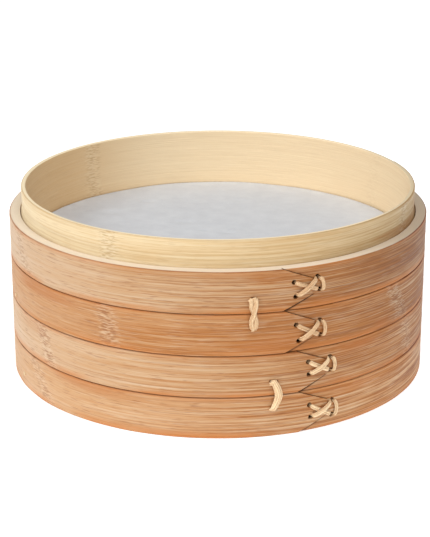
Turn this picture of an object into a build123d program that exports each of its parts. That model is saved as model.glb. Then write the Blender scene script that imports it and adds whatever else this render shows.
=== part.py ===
from build123d import *
import math
import os

# A two-tier round bamboo steamer basket, 10 inches across. Millimetres, +Z up.
# The origin is the centre of the bottom rim, and -Y is the front, where the hoops are laced.
# Angles are degrees in plan from +X. A tier's own heights are from its bottom rim.

# Hoops: two lapped strips stand one on the other round each tier.
hoop_radius = 127.0
hoop_wall = 6.6
hoop_height = 24.7
upper_hoop_shift = 0.3       # the upper hoop's inner face is this far off centre, towards +X
tier_height = 2 * hoop_height

# Inner ring: a thin lapped strip. Its top is planed to a spigot for the next tier or a lid.
ring_radius = 120.0
ring_inner_radius = 116.6
spigot_radius = 119.4
spigot_height = 15.6

# Socket: the lower hoop's inner face is scraped wider up to the ring's lower edge.
socket_radius = 120.95
socket_depth = 19.6

# Laps: a strip's two ends are skived thin over this arc, a hairline apart.
hoop_scarf_turn = 30.0
hoop_tip_wall = 0.8
hoop_root_wall = 1.35        # the inner end's, before the socket is scraped
hoop_slit = 0.15
ring_scarf_turn = 40.0
ring_tip_wall = 0.8          # before the spigot is planed
ring_root_wall = 0.4
ring_slit = 0.08
ring_tip_angle = 20.0
sunk_turn = 60.0             # past its tip, a strip's outer face comes back up over this arc

# Tongue: a hoop's outer end is trimmed to a taper. Turns are from the lap's middle.
tongue_start_turn = -6.6
tongue_tip_turn = 1.6
tongue_low = 8.3
tongue_high = 17.4
trim_margin = 2.0

# Cane lacing of the laps.
lace_radius = 0.9
lace_knot_radius = 1.0       # where strands crowd together in a hole
lace_hole_radius = 1.15
lace_left_turn = -3.4
lace_right_turn = 3.2
lace_bulge_turn = 1.3        # the upright strand bows this far past its holes
under_rise = 1.7             # the two crossing strands' middles, above the hoop's face
over_rise = 3.6

# Cane ties that hold a tier's two hoops together.
tie_radius = 1.2
tie_knot_radius = 1.3
tie_hole_radius = 1.5
tie_low = 16.8
tie_high = 33.4
tie_bow = 0.6
cane_gap = 0.2               # between the cane and the bamboo that it lies on

# Bamboo pegs through the lower hoop.
peg_radius = 1.3
peg_proud = 0.3
peg_recess = 0.4

# Floor: slats pinned on crossbars, whose ends go through the ring into pockets in the lower hoop.
bar_width = 12.0
bar_thickness = 3.5
bar_pitch = 62.0
bar_names = ("front", "middle", "rear")
bar_end_radius = 123.2
pocket_gap = 0.1
slat_count = 15
slat_width = 12.2
slat_pitch = 15.4
slat_thickness = 3.6
slat_end_gap = 0.4
pin_radius = 1.25
pin_edge = 4.0               # bamboo left between a pin and a slat's end
edge_round = 0.5
floor_level = hoop_height    # the crossbars' upper faces, level with the joint between the hoops

# Paper liner on the upper tier's floor.
liner_gap = 0.1
liner_thickness = 0.4
liner_wall_gap = 0.5

hoop_inner_radius = hoop_radius - hoop_wall
bar_underside = floor_level - bar_thickness
slat_top = floor_level + slat_thickness
tip_step = hoop_tip_wall + hoop_slit
arc_per_degree = math.radians(1) * hoop_radius

# The tiers are made by hand, so each lap is (middle, left holes' heights, right holes' heights).
upper_tier = {
    "name": "upper_tier",
    "base": tier_height,
    "turn": 0.0,
    "laps": {
        "upper": (-67.5, (7.9, 16.6), (10.1, 18.4)),
        "lower": (-66.8, (6.2, 16.1), (7.6, 17.3)),
    },
    "tie_angle": -81.3,
    "peg": (-162.3, 4.1),
}
lower_tier = {
    "name": "lower_tier",
    "base": 0.0,
    "turn": 4.3,
    "laps": {
        "upper": (-63.3, (9.9, 17.7), (9.8, 18.5)),
        "lower": (-62.7, (8.4, 16.0), (6.5, 16.2)),
    },
    "tie_angle": -76.0,
    "peg": (-156.1, 7.7),
}


def polar(radius, angle, centre_x=0.0):
    """A point in plan."""
    turn = math.radians(angle)
    return (centre_x + radius * math.cos(turn), radius * math.sin(turn))


def place(radius, angle, height):
    """A point in space."""
    return Vector(*polar(radius, angle), height)


def radial_plane(radius, angle, height):
    """A plane that faces outwards, with its x along the rim and its y up."""
    turn = math.radians(angle)
    return Plane(
        origin=place(radius, angle, height),
        x_dir=(-math.sin(turn), math.cos(turn), 0),
        z_dir=(math.cos(turn), math.sin(turn), 0),
    )


def floor_plane(tier, height):
    """A level plane turned with the tier, its y along the slats."""
    return Plane.XY.offset(tier["base"] + height).rotated((0, 0, tier["turn"]))


def strip_section(outer, inner, tip, scarf, tip_wall, root_wall, slit, shift=0.0):
    """The plan of a strip bent round once, with its two skived ends lapped."""
    root = tip - scarf
    root_radius = inner + root_wall
    middle_radius = (outer - tip_wall + root_radius) / 2
    hair = math.degrees(slit / inner)
    rise = tip + sunk_turn
    lap_middle = (tip + root) / 2
    under_tip = polar(outer - tip_wall - slit, tip)
    under_root = polar(root_radius, root, shift)
    over_root = polar(root_radius + slit, root - hair, shift)
    over_tip = polar(outer - tip_wall, tip)
    inner_root = polar(inner, root, shift)
    inner_far = polar(inner, root + 180, shift)
    inner_end = polar(inner, root - hair, shift)
    with BuildSketch() as section:
        with BuildLine():
            ThreePointArc(polar(outer, tip), polar(outer, rise - 180), polar(outer, rise))
            ThreePointArc(
                polar(outer, rise),
                polar(outer - (tip_wall + slit) / 4, tip + sunk_turn / 2),
                under_tip,
            )
            ThreePointArc(
                under_tip,
                polar(middle_radius - slit / 2, lap_middle, shift / 2),
                under_root,
            )
            Line(under_root, inner_root)
            ThreePointArc(inner_root, polar(inner, root + 90, shift), inner_far)
            ThreePointArc(inner_far, polar(inner, root - 90, shift), inner_end)
            Line(inner_end, over_root)
            ThreePointArc(
                over_root,
                polar(middle_radius + slit / 2, lap_middle, shift / 2),
                over_tip,
            )
            Line(over_tip, polar(outer, tip))
        make_face()
    return section.sketch


def tongue_trim(low, lap, shift):
    """What is cut off a hoop's outer end, above and below its tongue."""
    tip = lap + tongue_tip_turn
    root = tip - hoop_scarf_turn
    lap_middle = (tip + root) / 2
    slit_tip = polar(hoop_radius - hoop_tip_wall - hoop_slit / 2, tip)
    slit_root = polar(hoop_inner_radius + hoop_root_wall + hoop_slit / 2, root, shift)
    outside = hoop_radius + trim_margin
    start_x = tongue_start_turn * arc_per_degree
    tip_x = tongue_tip_turn * arc_per_degree
    edge_x = start_x - trim_margin * (tip_x - start_x) / tongue_low
    with BuildPart() as trim:
        with BuildSketch(Plane.XY.offset(low - trim_margin)):
            with BuildLine():
                ThreePointArc(
                    slit_tip,
                    polar((hoop_radius + hoop_inner_radius) / 2, lap_middle, shift / 2),
                    slit_root,
                )
                Line(slit_root, polar(outside, root))
                ThreePointArc(
                    polar(outside, root), polar(outside, lap_middle), polar(outside, tip)
                )
                Line(polar(outside, tip), slit_tip)
            make_face()
        extrude(amount=hoop_height + 2 * trim_margin)
        with BuildSketch(radial_plane(hoop_radius / 2, lap, low)):
            with BuildLine():
                Polyline(
                    (-hoop_radius, -trim_margin),
                    (edge_x, -trim_margin),
                    (tip_x, tongue_low),
                    (tip_x, tongue_high),
                    (edge_x, hoop_height + trim_margin),
                    (-hoop_radius, hoop_height + trim_margin),
                    close=True,
                )
            make_face()
        extrude(amount=hoop_radius, mode=Mode.SUBTRACT)
    return trim.part


def lap_holes(tier, level):
    """The four lacing holes as (angle, height): left low, left high, right low, right high."""
    lap, left, right = tier["laps"][level]
    low = hoop_low(tier, level)
    columns = ((lap + lace_left_turn, left), (lap + lace_right_turn, right))
    return [(angle, low + height) for angle, pair in columns for height in pair]


def hoop_low(tier, level):
    """The height of a hoop's lower edge."""
    return tier["base"] + (hoop_height if level == "upper" else 0.0)


def opposite_pair(angle):
    return (angle, angle + 180)


def make_hoop(tier, level):
    """An outer hoop with its tongue, holes, inner grooves and, on the lower one, bar pockets."""
    lap = tier["laps"][level][0]
    low = hoop_low(tier, level)
    shift = upper_hoop_shift if level == "upper" else 0.0
    left_low, left_high, right_low, right_high = lap_holes(tier, level)
    tie_hole = tier["base"] + (tie_high if level == "upper" else tie_low)
    with BuildPart() as hoop:
        with BuildSketch(Plane.XY.offset(low)):
            add(
                strip_section(
                    hoop_radius,
                    hoop_inner_radius,
                    lap + tongue_tip_turn,
                    hoop_scarf_turn,
                    hoop_tip_wall,
                    hoop_root_wall,
                    hoop_slit,
                    shift,
                )
            )
        extrude(amount=hoop_height)
        add(tongue_trim(low, lap, shift), mode=Mode.SUBTRACT)
        for angle, height in (left_low, left_high, right_low, right_high):
            with BuildSketch(radial_plane(hoop_inner_radius - 2, angle, height)):
                Circle(lace_hole_radius)
            extrude(amount=hoop_wall + 4, mode=Mode.SUBTRACT)
        for left, right in ((left_low, right_low), (left_high, right_high)):
            run = (right[0] - left[0]) * arc_per_degree
            rise = right[1] - left[1]
            middle = radial_plane(
                hoop_inner_radius - 2, (left[0] + right[0]) / 2, (left[1] + right[1]) / 2
            )
            with BuildSketch(middle):
                SlotCenterToCenter(
                    math.hypot(run, rise),
                    2 * lace_hole_radius,
                    rotation=math.degrees(math.atan2(rise, run)),
                )
            extrude(amount=2 + 2 * lace_knot_radius + cane_gap, mode=Mode.SUBTRACT)
        for angle in opposite_pair(tier["tie_angle"]):
            with BuildSketch(radial_plane(hoop_inner_radius - 2, angle, tie_hole)):
                Circle(tie_hole_radius)
            extrude(amount=hoop_wall + 4, mode=Mode.SUBTRACT)
            groove_middle = tier["base"] + (tie_low + tie_high) / 2
            with BuildSketch(radial_plane(hoop_inner_radius - 2, angle, groove_middle)):
                SlotCenterToCenter(tie_high - tie_low, 2 * tie_hole_radius, rotation=90)
            extrude(amount=2 + 2 * tie_knot_radius + cane_gap, mode=Mode.SUBTRACT)
        if level == "lower":
            with BuildSketch(Plane.XY.offset(low)):
                Circle(socket_radius)
            extrude(amount=socket_depth, mode=Mode.SUBTRACT)
            peg_angle, peg_height = tier["peg"]
            for angle in opposite_pair(peg_angle):
                with BuildSketch(radial_plane(hoop_inner_radius - 2, angle, low + peg_height)):
                    Circle(peg_radius)
                extrude(amount=hoop_wall + 4, mode=Mode.SUBTRACT)
            with BuildSketch(floor_plane(tier, bar_underside - pocket_gap)):
                with GridLocations(0, bar_pitch, 1, len(bar_names)):
                    Rectangle(2 * hoop_radius, bar_width + 2 * pocket_gap)
                Circle(bar_end_radius + pocket_gap, mode=Mode.INTERSECT)
            extrude(amount=bar_thickness + 1, mode=Mode.SUBTRACT)
    return hoop


def make_ring(tier):
    """The inner ring, with its spigot and a window for each end of each crossbar."""
    low = tier["base"] + socket_depth
    with BuildPart() as ring:
        with BuildSketch(Plane.XY.offset(low)):
            add(
                strip_section(
                    ring_radius,
                    ring_inner_radius,
                    ring_tip_angle + tier["turn"],
                    ring_scarf_turn,
                    ring_tip_wall,
                    ring_root_wall,
                    ring_slit,
                )
            )
        extrude(amount=tier_height + spigot_height - socket_depth)
        with BuildSketch(Plane.XY.offset(tier["base"] + tier_height)):
            Circle(hoop_radius)
            Circle(spigot_radius, mode=Mode.SUBTRACT)
        extrude(amount=spigot_height, mode=Mode.SUBTRACT)
        with BuildSketch(floor_plane(tier, bar_underside)):
            with GridLocations(0, bar_pitch, 1, len(bar_names)):
                Rectangle(2 * hoop_radius, bar_width)
        extrude(amount=bar_thickness, mode=Mode.SUBTRACT)
    return ring


def make_lace(tier, level):
    """The cane through a lap's four holes: two crossed strands, one upright, and two inside."""
    holes = lap_holes(tier, level)
    left_low, left_high, right_low, right_high = holes
    inside = hoop_inner_radius + lace_knot_radius + cane_gap / 2
    left_face = hoop_radius + lace_radius + cane_gap
    right_face = left_face - tip_step
    faces = (left_face, left_face, right_face, right_face)
    middle_angle = (left_low[0] + right_low[0]) / 2
    middle_height = sum(height for angle, height in holes) / len(holes)
    low_height = (left_low[1] + right_low[1]) / 2
    high_height = (left_high[1] + right_high[1]) / 2
    upright_middle = place(
        right_face + cane_gap,
        right_low[0] + lace_bulge_turn,
        (right_low[1] + right_high[1]) / 2,
    )
    arcs = (
        (
            place(left_face, *left_high),
            place(hoop_radius + under_rise, middle_angle, middle_height),
            place(right_face, *right_low),
        ),
        (
            place(left_face, *left_low),
            place(hoop_radius + over_rise, middle_angle, middle_height),
            place(right_face, *right_high),
        ),
        (place(right_face, *right_high), upright_middle, place(right_face, *right_low)),
        (
            place(inside, *left_low),
            place(inside, middle_angle, low_height),
            place(inside, *right_low),
        ),
        (
            place(inside, *left_high),
            place(inside, middle_angle, high_height),
            place(inside, *right_high),
        ),
    )
    with BuildPart() as lace:
        for (angle, height), face in zip(holes, faces):
            with BuildSketch(radial_plane(inside - lace_knot_radius, angle, height)):
                Circle(lace_knot_radius)
            extrude(amount=face - inside + 2 * lace_knot_radius)
        for start, middle, end in arcs:
            with BuildLine() as path:
                ThreePointArc(start, middle, end)
            with BuildSketch(Plane(origin=path.line @ 0, z_dir=path.line % 0)):
                Circle(lace_radius)
            sweep()
    return lace


def make_tie(tier, angle):
    """A loop of cane through both hoops, its inner run in their grooves."""
    inside = hoop_inner_radius + tie_knot_radius + cane_gap / 2
    outside = hoop_radius + tie_radius + cane_gap
    low = tier["base"] + tie_low
    high = tier["base"] + tie_high
    bow = place(outside + tie_bow, angle, (low + high) / 2)
    with BuildPart() as tie:
        for height in (low, high):
            with BuildSketch(radial_plane(inside - tie_knot_radius, angle, height)):
                Circle(tie_knot_radius)
            extrude(amount=outside - inside + 2 * tie_knot_radius)
        with BuildSketch(Plane(origin=place(inside, angle, low), z_dir=(0, 0, 1))):
            Circle(tie_radius)
        extrude(amount=high - low)
        with BuildLine() as path:
            ThreePointArc(place(outside, angle, low), bow, place(outside, angle, high))
        with BuildSketch(Plane(origin=path.line @ 0, z_dir=path.line % 0)):
            Circle(tie_radius)
        sweep()
    return tie


def make_pegs(tier):
    """Two bamboo pegs through the lower hoop, opposite each other."""
    peg_angle, peg_height = tier["peg"]
    start = hoop_inner_radius + peg_recess
    with BuildPart() as pegs:
        for angle in opposite_pair(peg_angle):
            with BuildSketch(radial_plane(start, angle, tier["base"] + peg_height)):
                Circle(peg_radius)
            extrude(amount=hoop_radius + peg_proud - start)
    return pegs


def bar_place(index):
    """A crossbar's y, on the tier's own axes."""
    return (index - (len(bar_names) - 1) / 2) * bar_pitch


def slat_place(index):
    """A slat's x, on the tier's own axes."""
    return (index - (slat_count - 1) / 2) * slat_pitch


def pin_places():
    """Where a slat crosses a crossbar with room for a pin."""
    reach = ring_inner_radius - slat_end_gap - pin_radius - pin_edge
    crossings = [
        (slat_place(slat), bar_place(bar))
        for slat in range(slat_count)
        for bar in range(len(bar_names))
    ]
    return [crossing for crossing in crossings if math.hypot(*crossing) < reach]


def make_crossbar(tier, index):
    """A split bamboo bar under the slats, its ends cut to the pockets' round."""
    with BuildPart() as bar:
        with BuildSketch(floor_plane(tier, bar_underside)):
            with Locations((0, bar_place(index))):
                Rectangle(2 * hoop_radius, bar_width)
            Circle(bar_end_radius, mode=Mode.INTERSECT)
        extrude(amount=bar_thickness)
        with BuildSketch(floor_plane(tier, bar_underside)):
            with Locations(*[spot for spot in pin_places() if spot[1] == bar_place(index)]):
                Circle(pin_radius)
        extrude(amount=bar_thickness, mode=Mode.SUBTRACT)
    return bar


def make_slat(tier, index):
    """One floor slat, its ends cut to the ring's round and its upper edges eased."""
    with BuildPart() as slat:
        with BuildSketch(floor_plane(tier, floor_level)):
            with Locations((slat_place(index), 0)):
                Rectangle(slat_width, 2 * hoop_radius)
            Circle(ring_inner_radius - slat_end_gap, mode=Mode.INTERSECT)
        extrude(amount=slat_thickness)
        fillet(slat.faces().sort_by(Axis.Z)[-1].edges(), radius=edge_round)
        with BuildSketch(floor_plane(tier, floor_level)):
            with Locations(*[spot for spot in pin_places() if spot[0] == slat_place(index)]):
                Circle(pin_radius)
        extrude(amount=slat_thickness, mode=Mode.SUBTRACT)
    return slat


def make_pins(tier):
    """The bamboo pins that hold the slats on the crossbars."""
    with BuildPart() as pins:
        with BuildSketch(floor_plane(tier, bar_underside)):
            with Locations(*pin_places()):
                Circle(pin_radius)
        extrude(amount=slat_top - bar_underside)
    return pins


def make_liner(tier):
    """A round sheet of steaming paper, thickness and all."""
    with BuildPart() as liner:
        with BuildSketch(floor_plane(tier, slat_top + liner_gap)):
            Circle(ring_inner_radius - liner_wall_gap)
        extrude(amount=liner_thickness)
    return liner


def save(piece, name):
    piece.part.label = name
    export_step(piece.part, f"parts/{name}.step")


def build_tier(tier):
    """All the pieces of one tier, each in its own file."""
    name = tier["name"]
    save(make_ring(tier), f"{name}_inner_ring")
    for level in ("upper", "lower"):
        save(make_hoop(tier, level), f"{name}_{level}_hoop")
        save(make_lace(tier, level), f"{name}_{level}_hoop_lacing")
    for side, angle in zip(("front", "rear"), opposite_pair(tier["tie_angle"])):
        save(make_tie(tier, angle), f"{name}_{side}_tie")
    save(make_pegs(tier), f"{name}_hoop_pegs")
    for index, side in enumerate(bar_names):
        save(make_crossbar(tier, index), f"{name}_{side}_crossbar")
    for index in range(slat_count):
        save(make_slat(tier, index), f"{name}_slat_{index + 1:02d}")
    save(make_pins(tier), f"{name}_slat_pins")


os.makedirs("parts", exist_ok=True)
build_tier(upper_tier)
build_tier(lower_tier)
save(make_liner(upper_tier), "paper_liner")
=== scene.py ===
"""Looks for the two-tier bamboo steamer basket.

Relief meshes for the bent strips, laid cane for the lacing and the ties, a creased paper liner,
procedural materials, soft studio light and the camera. Metres, +Z up, -Y is the laced front.
Angles are degrees in plan from +X. A strip's own heights are in millimetres from its lower edge.
"""
import math

import bpy
import numpy as np
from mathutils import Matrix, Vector


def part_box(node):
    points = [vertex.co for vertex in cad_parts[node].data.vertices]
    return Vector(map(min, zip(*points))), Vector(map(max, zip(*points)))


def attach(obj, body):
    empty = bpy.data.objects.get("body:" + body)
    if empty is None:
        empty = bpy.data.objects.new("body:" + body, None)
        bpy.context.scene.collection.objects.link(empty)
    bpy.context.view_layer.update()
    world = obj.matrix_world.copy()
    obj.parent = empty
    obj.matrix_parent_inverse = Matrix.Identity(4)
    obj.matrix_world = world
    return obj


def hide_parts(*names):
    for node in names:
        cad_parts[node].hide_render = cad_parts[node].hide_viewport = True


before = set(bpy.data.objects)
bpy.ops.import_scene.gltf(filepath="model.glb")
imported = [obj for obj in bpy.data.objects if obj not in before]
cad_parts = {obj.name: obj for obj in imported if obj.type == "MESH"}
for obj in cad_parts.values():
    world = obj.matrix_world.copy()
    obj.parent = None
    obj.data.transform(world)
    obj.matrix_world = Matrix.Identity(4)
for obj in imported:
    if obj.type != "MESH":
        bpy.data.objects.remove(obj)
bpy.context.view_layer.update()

MM = 0.001

# Places that the frame gives.
HOOP_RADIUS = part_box("lower_tier_lower_hoop")[1][0]
HOOP_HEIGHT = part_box("lower_tier_lower_hoop")[1][2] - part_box("lower_tier_lower_hoop")[0][2]
TIER_HEIGHT = 2 * HOOP_HEIGHT
RING_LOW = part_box("lower_tier_inner_ring")[0][2]
LINER_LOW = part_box("paper_liner")[0][2]
LINER_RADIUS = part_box("paper_liner")[1][0]

# The walls of the bent strips, and the room that their relief needs inside the CAD shape.
HOOP_INNER = HOOP_RADIUS - 6.6 * MM
SOCKET_INNER = HOOP_INNER + 0.55 * MM
RING_OUTER = HOOP_RADIUS - 7.6 * MM
RING_INNER = LINER_RADIUS + 0.5 * MM
FACE_ROOM = 0.12 * MM
EDGE_ROOM = 0.06 * MM

# Lap of a hoop: the tongue's start and tip, in degrees from the lap's middle, and the tip's two
# corners. Past the tip the strip's other end lies a step lower and comes up again over SUNK_TURN.
TONGUE_START, TONGUE_TIP = -6.6, 1.6
TONGUE_LOW, TONGUE_HIGH = 8.3 * MM, 17.4 * MM
LAP_STEP = 0.95 * MM
SUNK_TURN = 60.0
SLIT_TURN = 0.24
RING_HALF_LAP = 20.0

# Holes of the ties, from the tier's lower edge, the pits round the cane in the outer faces, and the
# grooves for it in the inner faces.
TIE_LOW, TIE_HIGH = 16.8 * MM, 33.4 * MM
LACE_PIT, TIE_PIT, PIT_DEPTH = 1.3 * MM, 1.1 * MM, 3.4 * MM
TIE_GROOVE, LACE_GROOVE_DEPTH, TIE_GROOVE_DEPTH = 1.5 * MM, 2.1 * MM, 2.3 * MM

# Each tier as it was made.
# - laps: the middle and four holes, left low, left high, right low and right high, each as
#   (turn from the middle, height)
# - knots: the bamboo's own nodes, as (angle at the lower edge, angle at the upper edge, strength)
# - tone: how brown a strip is; painted_side_shade: how much browner towards +X, which is painted shade
#   for the side away from the key lamp
# - value: how light the outer face is, and how much that changes towards +X, which is painted shade where
#   it falls and painted light where it grows
# - stains_and_shade: warm patches, as (angle, height, half length, half height, strength); those on the
#   upper tier's ring are painted shade
TIERS = {
    "upper_tier": {
        "base": TIER_HEIGHT,
        "turn": 0,
        "laps": {
            "upper": (-67.5, ((-2.9, 8), (-3.4, 16.4), (3.8, 10.1), (3.2, 17.6))),
            "lower": (-66.8, ((-2.6, 6.4), (-3.4, 15.9), (3.6, 7.6), (3.4, 16.5))),
        },
        "knots": {
            "upper": ((-150, -158, 0.75), (48, 44, 0.8)),
            "lower": ((-118.5, -119.5, 1), (-31, -38, 1), (80, 84, 0.8)),
            "ring": (
                (-119, -121, 0.8), (-27.5, -25, 0.9), (134, 135.5, 0.6), (32, 29, 0.15)
            ),
        },
        "tie": -81.3,
        "tone": {"upper": 0.58, "lower": 0.87, "ring": 0.5},
        "painted_side_shade": {"upper": 0.28, "lower": 0.15, "ring": 0.22},
        "value": {"upper": (0.71, -0.20), "lower": (0.76, -0.16), "ring": (0.83, -0.21)},
        "stains_and_shade": {
            "upper": ((-78, 20.5, 14, 4, 0.45), (-62.5, 2.5, 9, 2.5, 0.6)),
            "lower": (
                (-76, 6, 20, 6, 0.8),
                (-143, 21, 32, 4.5, 0.7),
                (-42, 4, 8, 2.5, 1),
            ),
            # painted shade: the ring's base over the ledge, darkened on the +X side
            "ring": ((-24, 31, 34, 3.4, 0.55), (-6, 34, 16, 7, 0.45)),
        },
    },
    "lower_tier": {
        "base": 0,
        "turn": 4.3,
        "laps": {
            "upper": (-63.3, ((-3.1, 10), (-3.3, 17.4), (3.3, 9.8), (3.2, 17.8))),
            "lower": (-62.7, ((-3, 8.5), (-3.4, 15.8), (3.5, 6.8), (3.5, 15.7))),
        },
        "knots": {
            "upper": ((-139.5, -144, 1), (-27.5, -30, 0.8), (70, 66, 0.8)),
            "lower": ((-140.5, -149.5, 0.8), (22, 27, 0.9), (120, 116, 0.8)),
            "ring": ((60, 62, 0.8), (-100, -98, 0.8)),
        },
        "tie": -76,
        "tone": {"upper": 0.58, "lower": 0.60, "ring": 0.5},
        "painted_side_shade": {"upper": 0.26, "lower": 0.12, "ring": 0},
        "value": {"upper": (0.75, -0.05), "lower": (0.785, 0.04), "ring": (0.83, 0)},
        "stains_and_shade": {
            "upper": (
                (-52, 20.5, 20, 3.5, 1.1),
                (-58, 3, 14, 3, 0.7),
                (-148, 20, 14, 5, 0.3),
            ),
            "lower": (
                (-128, 21.5, 34, 4, 0.6),
                (-100, 2.5, 60, 3, 0.5),
                (-52, 21.5, 20, 3, 0.6),
            ),
            "ring": (),
        },
    },
}


# ---- shader graph

def srgb(r, g, b):
    """A colour as it looks, 0 to 255, made linear."""
    def channel(value):
        value /= 255
        return value / 12.92 if value <= 0.04045 else ((value + 0.055) / 1.055) ** 2.4
    return (channel(r), channel(g), channel(b))


class Graph:
    """A material and short calls for the shader nodes that it is wired from."""

    def __init__(self, name):
        self.material = bpy.data.materials.new(name)
        self.material.use_nodes = True
        self.tree = self.material.node_tree
        self.shader = self.tree.nodes["Principled BSDF"]

    def node(self, kind, **settings):
        made = self.tree.nodes.new(kind)
        for key, value in settings.items():
            setattr(made, key, value)
        return made

    def put(self, socket, value):
        if isinstance(value, bpy.types.NodeSocket):
            self.tree.links.new(value, socket)
        elif value is not None:
            socket.default_value = value

    def math(self, operation, *values):
        made = self.node("ShaderNodeMath", operation=operation)
        for socket, value in zip(made.inputs, values):
            self.put(socket, value)
        return made.outputs[0]

    def add(self, *values):
        total = values[0]
        for value in values[1:]:
            total = self.math("ADD", total, value)
        return total

    def times(self, a, b):
        return self.math("MULTIPLY", a, b)

    def hypotenuse(self, a, b):
        return self.math("SQRT", self.add(self.times(a, a), self.times(b, b)))

    def vector(self, x, y, z):
        made = self.node("ShaderNodeCombineXYZ")
        for socket, value in zip(made.inputs, (x, y, z)):
            self.put(socket, value)
        return made.outputs[0]

    def spread(self, place, *factors):
        """A place with each axis times its own factor, or all three times one."""
        factors = factors if len(factors) == 3 else factors * 3
        return self.vector(*(self.times(axis, factor) for axis, factor in zip(place, factors)))

    def noise(self, vector, detail=2.0, roughness=0.5):
        """Noise from 0 to 1 with its lumps about one unit of the vector apart."""
        made = self.node("ShaderNodeTexNoise")
        self.put(made.inputs["Vector"], vector)
        made.inputs["Scale"].default_value = 1.0
        made.inputs["Detail"].default_value = detail
        made.inputs["Roughness"].default_value = roughness
        return made.outputs["Fac"]

    def fade(self, value, low, high):
        """0 at low, 1 at high, eased."""
        made = self.node("ShaderNodeMapRange", clamp=True, interpolation_type="SMOOTHSTEP")
        self.put(made.inputs["Value"], value)
        made.inputs["From Min"].default_value = low
        made.inputs["From Max"].default_value = high
        return made.outputs["Result"]

    def span(self, value, low, high, to_low=0.0, to_high=1.0):
        """to_low at low, to_high at high, straight between them and level beyond."""
        made = self.node("ShaderNodeMapRange", clamp=True)
        self.put(made.inputs["Value"], value)
        keys = ("From Min", "From Max", "To Min", "To Max")
        for key, number in zip(keys, (low, high, to_low, to_high)):
            made.inputs[key].default_value = number
        return made.outputs["Result"]

    def mix(self, factor, a, b, blend="MIX"):
        made = self.node("ShaderNodeMix", data_type="RGBA", blend_type=blend)
        self.put(made.inputs[0], factor)
        self.put(made.inputs[6], (*a, 1) if isinstance(a, tuple) else a)
        self.put(made.inputs[7], (*b, 1) if isinstance(b, tuple) else b)
        return made.outputs[2]

    def place(self):
        """x, y and z on the object, in millimetres."""
        coords = self.node("ShaderNodeTexCoord")
        split = self.node("ShaderNodeSeparateXYZ")
        self.put(split.inputs[0], coords.outputs["Object"])
        return [self.times(axis, 1000.0) for axis in split.outputs]

    def finish(self, colour, roughness, height, bump_distance, specular=0.5):
        """Wires the shader; the bump's height runs from 0 to 1 over bump_distance, in metres."""
        self.shader.inputs["Specular IOR Level"].default_value = specular
        made = self.node("ShaderNodeBump")
        made.inputs["Strength"].default_value = 1.0
        made.inputs["Distance"].default_value = bump_distance
        self.put(made.inputs["Height"], height)
        self.put(self.shader.inputs["Normal"], made.outputs["Normal"])
        self.put(self.shader.inputs["Base Color"], colour)
        self.put(self.shader.inputs["Roughness"], roughness)
        return self.material


# ---- materials

# Colours and amounts, each for a hoop, which keeps its tan skin, and for a ring, which is planed
# pale. An amount in a pair of its own is the amount at the middle and its growth towards +X.
SKINS = {
    "light": (srgb(238, 207, 172), srgb(250, 230, 190)),
    "middle": (srgb(222, 173, 123), srgb(240, 211, 163)),
    "dark": (srgb(198, 127, 61), srgb(216, 174, 116)),
    "vessel": (srgb(156, 92, 46), srgb(190, 148, 92)),
    "knot_light": (srgb(242, 214, 180), srgb(250, 234, 202)),
    "knot_dark": (srgb(158, 96, 54), srgb(184, 142, 86)),
    "edge_light": (srgb(230, 218, 198), srgb(250, 232, 196)),
    "edge_warm": (srgb(196, 120, 54), srgb(216, 172, 108)),
    "seam": (srgb(120, 62, 26), srgb(160, 118, 66)),
    "contrast": ((0.78, 0.6), (0.7, 0.0)),
    "lines": ((0.36, 0.30), (0.22, 0.0)),
    "streaks": ((0.14, 0.40), (0.05, 0.0)),
    "dashes": (0.46, 0.26),
    "warm_edges": (0.70, 0.20),
    "top_line": (1.0, 0.5),
    "bottom_line": (0.7, 0.35),
}


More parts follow.
